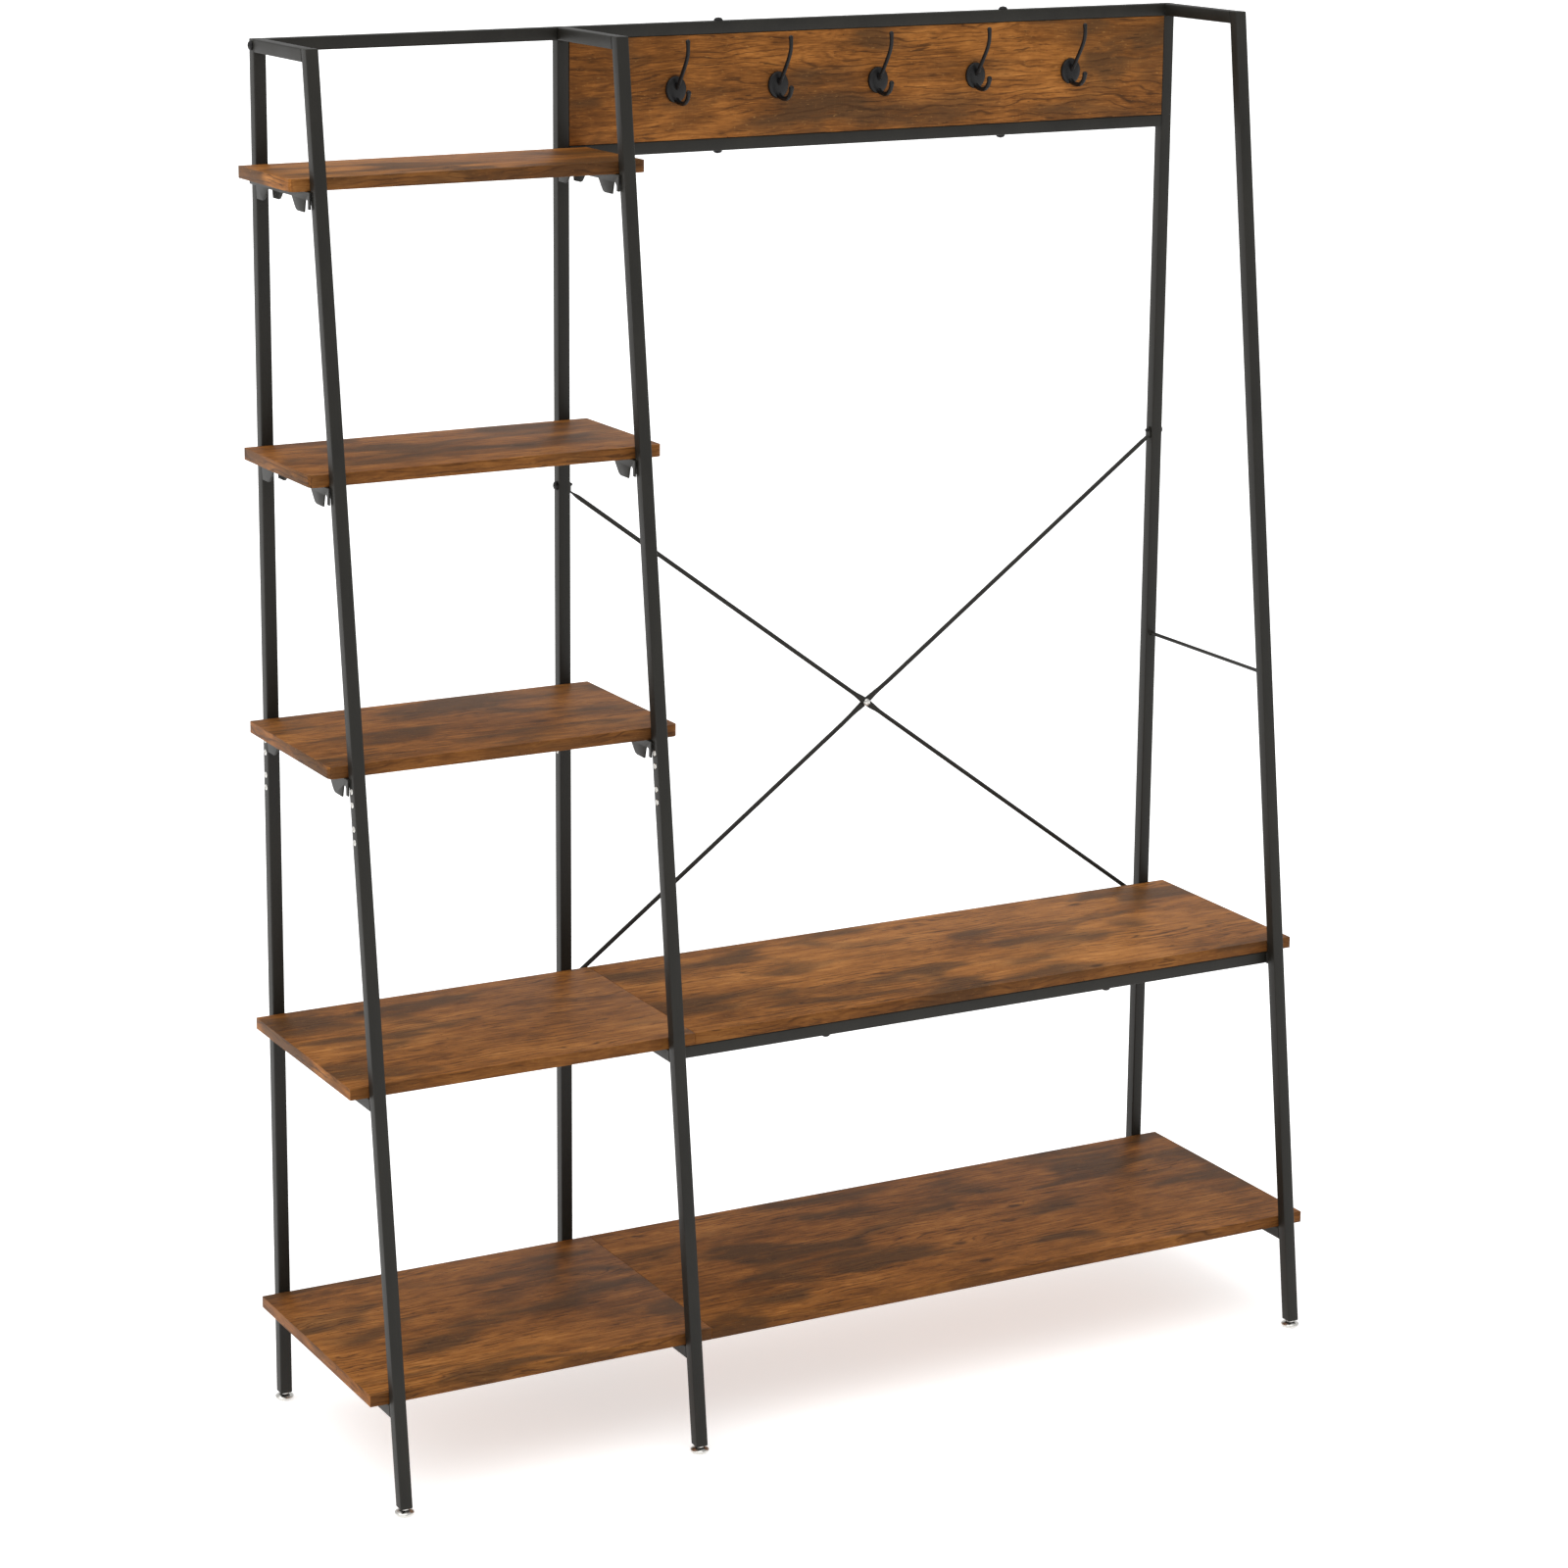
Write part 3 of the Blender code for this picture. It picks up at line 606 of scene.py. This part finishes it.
def tab(bm, x_low, y, z_low, z_high, up):
    """A small plate across X with one round end, which is its upper end if up."""
    half = TAB_HALF_WIDTH
    outline = []
    for i in range(ROD_SIDES + 1):
        angle = math.pi * i / ROD_SIDES
        rise = half * math.sin(angle)
        z = z_high - half + rise if up else z_low + half - rise
        outline.append((y + half * math.cos(angle), z))
    root = z_low if up else z_high
    outline += [(y - half, root), (y + half, root)]
    loft(bm, [[(x, *point) for point in outline] for x in (x_low, x_low + TAB_THICKNESS)])


# ---------------------------------------------------------------- bolts and screw

HEAD_RADIUS = 0.0058
HEAD_HEIGHT = 0.0038
SHANK = 0.37 * HEAD_RADIUS  # radius
SOCKET = 0.30 * HEAD_RADIUS  # from the middle to a corner of the hexagon
SEAM = 0.0001  # a step's length along a turned profile
DOME_STEPS = 9
BOLT_SIDES = 36
BOLT_AXES = {
    "panel_bolt_upper": (0, 0, 1),
    "panel_bolt_lower": (0, 0, -1),
    "bench_rail_bolt": (0, 0, -1),
    "rail_end_bolt_left": (-1, 0, 0),
    "rail_end_bolt_right": (1, 0, 0),
    "brace_bolt_falling_left": (-1, 0, 0),
    "brace_bolt_falling_right": (1, 0, 0),
    "brace_bolt_rising_left": (-1, 0, 0),
    "brace_bolt_rising_right": (1, 0, 0),
}


def hexagon(radius):
    """Distances from the middle to a hexagon's edge, at even angles."""
    distances = []
    for i in range(BOLT_SIDES):
        angle = (2 * math.pi * i / BOLT_SIDES) % (math.pi / 3) - math.pi / 6
        distances.append(radius * math.cos(math.pi / 6) / math.cos(angle))
    return distances


def bolt_look(node, axis):
    """A domed head with a rim and a hexagon socket, on a plain shank. The axis points out of the head."""
    low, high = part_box(node)
    reach = sum(abs(part) * side for part, side in zip(axis, high - low))
    seat = (low + high) / 2 + Vector(axis) * (reach / 2 - HEAD_HEIGHT)
    end = HEAD_HEIGHT - reach
    profile = [(end, 0.8 * SHANK), (end + 0.0008, SHANK), (-SEAM, SHANK), (0, HEAD_RADIUS)]
    for step in range(DOME_STEPS):
        angle = math.pi / 2 * step / DOME_STEPS
        rise = 0.14 + 0.86 * math.sin(angle)
        profile.append((HEAD_HEIGHT * rise, HEAD_RADIUS * math.cos(angle) ** 0.85))
    rings = turned_rings(profile, seat, axis, BOLT_SIDES)
    socket = [(HEAD_HEIGHT, 1.12), (HEAD_HEIGHT - SEAM, 1.0)]
    socket += [(0.50 * HEAD_HEIGHT, 1.0), (0.42 * HEAD_HEIGHT, 0.2)]
    rings += [ring_round(seat, axis, along, hexagon(SOCKET * scale)) for along, scale in socket]
    bm = bmesh.new()
    loft(bm, rings)
    replace_node(node, bm, HARDWARE)


def bolts():
    """Every bolt, each along its own axis."""
    for node in sorted(BODY_OF):
        for prefix, axis in BOLT_AXES.items():
            if node.startswith(prefix):
                bolt_look(node, axis)


SCREW_DOME = 0.0030  # how far the screw's head stands out in front
SCREW_HEAD = 0.0050  # radius
SCREW_SHANK = 0.0018  # radius


def centre_screw():
    """The bright screw where the brace's rods cross: a dome in front, and its riveted end behind."""
    low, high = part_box("brace_centre_screw")
    middle = (low + high) / 2
    back = SCREW_DOME - (high.y - low.y)
    profile = [(back, 0.0001), (back + 0.0001, 0.0026), (back + 0.0006, 0.0036), (back + 0.0019, 0.0037)]
    profile += [(back + 0.0020, SCREW_SHANK), (-SEAM, SCREW_SHANK), (0, SCREW_HEAD), (0.0004, SCREW_HEAD)]
    profile += [(0.0012, 0.0047), (0.0020, 0.0040), (0.0026, 0.0029), (0.0029, 0.0016)]
    profile += [(SCREW_DOME, 0.0008), (0.0023, 0.0006)]
    bm = bmesh.new()
    loft(bm, turned_rings(profile, (middle.x, low.y + SCREW_DOME, middle.z), (0, -1, 0)))
    replace_node("brace_centre_screw", bm, ZINC)


# ---------------------------------------------------------------- inserts and feet

PAIR_DROPS = (0.014, 0.059)  # from the lower shelf's underside to the upper insert of each pair
PAIR_PITCH = 0.016  # between the two inserts of a pair
INSERT_SIDES = 24


def insert_heights():
    """Where the inserts' middles are in Z, from the top down."""
    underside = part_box("lower_shelf")[0].z
    return [underside - drop - step for drop in PAIR_DROPS for step in (0, PAIR_PITCH)]


def spare_inserts():
    """Bright threaded inserts on the left sides of two frames' posts, for lower places of the lower shelf."""
    profile = [(-0.0040, 0.0019), (0.0004, 0.0019), (0.0011, 0.0022), (0.0012, 0.0027)]
    profile += [(0.0009, 0.0034), (0.0004, 0.0038), (0.0001, 0.0038)]
    for side in ("left", "middle"):
        rear_low, rear_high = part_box(side + "_rear_post")
        front_low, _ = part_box(side + "_front_post")
        body = BODY_OF[side + "_rear_post"]
        for number, z in enumerate(insert_heights(), 1):
            places = {
                "rear": (rear_low.y + rear_high.y) / 2,
                "front": front_low.y + LEANING_TUBE / 2 + LEAN * (z - front_low.z),
            }
            for end, y in places.items():
                bm = bmesh.new()
                loft(bm, turned_rings(profile, (rear_low.x, y, z), (-1, 0, 0), INSERT_SIDES))
                add_piece(f"{side}_{end}_insert_{number}", bm, ZINC, body)


THREAD_START = 0.0096  # above the foot's underside
THREAD_PITCH = 0.0010
THREAD_CREST = 0.0030  # radius
THREAD_ROOT = 0.00245
STEM_TIP = 0.0012  # length of the plain tip above the thread


def foot_look(node):
    """A bright domed glide with a rolled edge on a threaded stem."""
    low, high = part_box(node)
    middle = (low + high) / 2
    radius = (high.x - low.x) / 2
    glide = [(0, 0.62), (0.0004, 0.72), (0.0014, 0.88), (0.0026, 0.97), (0.0036, 1), (0.0044, 1)]
    glide += [(0.0050, 0.975), (0.0056, 0.90), (0.0064, 0.78), (0.0072, 0.62), (0.0078, 0.50)]
    glide += [(0.0080, 0.44), (THREAD_START, 0.43)]
    profile = [(z, share * radius) for z, share in glide]
    z = THREAD_START
    top = high.z - low.z - STEM_TIP
    while z < top:
        profile += [(z, THREAD_ROOT), (z + 0.35 * THREAD_PITCH, THREAD_CREST)]
        profile += [(z + 0.5 * THREAD_PITCH, THREAD_CREST)]
        z += THREAD_PITCH
    profile += [(top + STEM_TIP / 2, 0.0024), (top + STEM_TIP, 0.0018)]
    bm = bmesh.new()
    loft(bm, turned_rings(profile, (middle.x, middle.y, low.z), (0, 0, 1)))
    replace_node(node, bm, ZINC)


# ---------------------------------------------------------------- coat hooks

HOOK_RISE = 0.0201  # the base's middle above the lowest point of the hook
BASE_HALF_HEIGHT = 0.0170
BASE_SIDES = 56
PRONG_SIDES = 20
ROOT_SHARE = 0.28  # of a prong's length, over which its root's radius fades out
TIP_SHARE = 0.16
TIP_STEPS = 8
# Points along a prong's middle: out from the panel, and up from the base's middle
UPPER_PRONG = ((0.0015, 0.001), (0.0098, 0.007), (0.018, 0.0184), (0.0295, 0.0354), (0.0344, 0.0464))
UPPER_PRONG += ((0.0352, 0.0550), (0.0346, 0.0620))
LOWER_PRONG = ((0.0015, -0.0120), (0.0085, -0.0152), (0.0165, -0.0165), (0.0246, -0.0158))
LOWER_PRONG += ((0.0315, -0.0122), (0.0357, -0.0065), (0.0369, -0.0015))


def smooth_line(points, pieces=6):
    """A Catmull-Rom line through points."""
    points = [Vector(point) for point in points]
    padded = [2 * points[0] - points[1], *points, 2 * points[-1] - points[-2]]
    line = []
    for a, b, c, d in zip(padded, padded[1:], padded[2:], padded[3:]):
        square = 2 * a - 5 * b + 4 * c - d
        cube = 3 * b - a - 3 * c + d
        for step in range(pieces):
            t = step / pieces
            line.append(0.5 * (2 * b + (c - a) * t + square * t**2 + cube * t**3))
    line.append(points[-1])
    return line


def prong(bm, origin, path, root, radius, tip):
    """A round prong that tapers from its root, with a round tip. The last three are its radii."""
    line = smooth_line(path)
    rings = []
    count = len(line)
    for i, (out, up) in enumerate(line):
        before, after = line[max(i - 1, 0)], line[min(i + 1, count - 1)]
        along = (after - before).normalized()
        side = Vector((0, along.y, along.x))
        size = radius + (root - radius) * max(0.0, 1 - i / (ROOT_SHARE * count)) ** 2
        size += (tip - radius) * max(0.0, 1 - (count - 1 - i) / (TIP_SHARE * count)) ** 2
        centre = origin + Vector((0, -out, up))
        rings.append(prong_ring(centre, side, size))
    forward = Vector((0, -along.x, along.y))
    for step in range(1, TIP_STEPS):
        angle = math.pi / 2 * step / TIP_STEPS
        rings.append(prong_ring(centre + forward * tip * math.sin(angle), side, tip * math.cos(angle)))
    loft(bm, rings)


def prong_ring(centre, side, size):
    ring = []
    for i in range(PRONG_SIDES):
        angle = 2 * math.pi * i / PRONG_SIDES
        ring.append(centre + Vector((size * math.cos(angle), 0, 0)) + side * (size * math.sin(angle)))
    return ring


def hook_look(node):
    """An oval base with a soft rim, and two prongs."""
    low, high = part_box(node)
    half_width = (high.x - low.x) / 2
    origin = Vector(((low.x + high.x) / 2, high.y, low.z + HOOK_RISE))
    # Distance out from the panel, and share of the base's full size
    steps = [(0, 0.985), (0.0005, 1.0), (0.0026, 1.0), (0.0034, 0.985), (0.0040, 0.95), (0.0046, 0.88)]
    steps += [(0.0052, 0.74), (0.0056, 0.52), (0.0058, 0.25), (0.0058, 0.02)]
    rings = []
    for out, size in steps:
        ring = []
        for i in range(BASE_SIDES):
            angle = 2 * math.pi * i / BASE_SIDES
            across = half_width * size * math.cos(angle)
            up = BASE_HALF_HEIGHT * size * math.sin(angle)
            ring.append(origin + Vector((across, -out, up)))
        rings.append(ring)
    bm = bmesh.new()
    loft(bm, rings)
    prong(bm, origin, UPPER_PRONG, 0.0042, 0.0025, 0.0030)
    prong(bm, origin, LOWER_PRONG, 0.0042, 0.0029, 0.0034)
    replace_node(node, bm, HARDWARE)


# ---------------------------------------------------------------- camera, light and floor

CAMERA_PLACE = (-2.4544, -4.3836, 2.1445)
CAMERA_YAW = 0.4653  # radians to the right of straight ahead
CAMERA_PITCH = 0.2246  # radians down
CAMERA_LENS = 93.05  # millimetres
CAMERA_SENSOR = 36.0
CAMERA_SHIFT = (0.10, -0.10)
WORLD_STRENGTH = 0.76
# Name, direction, strength and angle in degrees
SUNS = (("overhead", (0.35, 0.12, -1.0), 1.25, 70), ("left", (1.0, 0.25, -0.45), 0.15, 40))
FLOOR_RADIUS = 70.0
FLOOR_DROP = 0.0005  # below the feet
FLOOR_GLOW = 0.5


def add_camera():
    data = bpy.data.cameras.new("camera")
    data.lens = CAMERA_LENS
    data.sensor_width = CAMERA_SENSOR
    data.shift_x, data.shift_y = CAMERA_SHIFT
    camera = bpy.data.objects.new("camera", data)
    camera.location = CAMERA_PLACE
    camera.rotation_euler = Euler((math.pi / 2 - CAMERA_PITCH, 0, -CAMERA_YAW))
    bpy.context.scene.collection.objects.link(camera)
    bpy.context.scene.camera = camera


def add_sun(name, direction, strength, spread):
    """A soft light from far away, so that the floor is evenly lit. spread is its angle in degrees."""
    data = bpy.data.lights.new(name, "SUN")
    data.energy = strength
    data.angle = math.radians(spread)
    light = bpy.data.objects.new(name, data)
    light.rotation_euler = Vector(direction).to_track_quat("-Z", "Y").to_euler()
    bpy.context.scene.collection.objects.link(light)


def add_studio():
    world = bpy.data.worlds.new("studio")
    world.use_nodes = True
    background = world.node_tree.nodes["Background"]
    background.inputs["Color"].default_value = (1, 1, 1, 1)
    background.inputs["Strength"].default_value = WORLD_STRENGTH
    bpy.context.scene.world = world
    bpy.context.scene.view_settings.view_transform = "Standard"
    for sun in SUNS:
        add_sun(*sun)


def add_floor():
    """A pale floor with a little light of its own, which keeps the shadows faint."""
    bm = bmesh.new()
    bmesh.ops.create_circle(bm, cap_ends=True, segments=96, radius=FLOOR_RADIUS)
    mesh = bpy.data.meshes.new("floor")
    bm.to_mesh(mesh)
    bm.free()
    floor = bpy.data.objects.new("floor", mesh)
    floor.location = (0, 0, -FLOOR_DROP)
    s = Shader("pale_floor", 0.9)
    s.surface.inputs["Base Color"].default_value = (0.92, 0.92, 0.92, 1)
    s.surface.inputs["Emission Color"].default_value = (1, 1, 1, 1)
    s.surface.inputs["Emission Strength"].default_value = FLOOR_GLOW
    mesh.materials.append(s.material)
    bpy.context.scene.collection.objects.link(floor)


# ---------------------------------------------------------------- the whole object

# How light each board's print is
BOARD_TONES = {
    "bench_board_right": 0.05,
    "bench_board_left": 0.02,
    "bottom_board_right": 0.0,
    "bottom_board_left": 0.0,
    "upper_shelf": 0.04,
    "middle_shelf": 0.02,
    "lower_shelf": 0.02,
    "coat_panel": -0.07,
}


def boards():
    for number, (board, tone) in enumerate(BOARD_TONES.items()):
        offset = (3.7 * number + 1.3, 0.91 * number, 0.37 * number)
        # Every board but the coat panel gets painted shade on its long edges.
        wood = rustic_wood("rustic_" + board, offset, tone, has_painted_shade_edges=board != "coat_panel")
        board_look(board, wood)


def repeated_parts():
    """Brackets, feet, hooks and brace rods."""
    for node in sorted(BODY_OF):
        if "shelf_bracket" in node:
            bracket_look(node)
        elif node.endswith("_foot"):
            foot_look(node)
        elif node.startswith("coat_hook"):
            hook_look(node)
        elif node.startswith("brace_rod"):
            brace_look(node)


boards()
tubes()
side_rod()
repeated_parts()
bolts()
centre_screw()
spare_inserts()

add_camera()
add_studio()
add_floor()
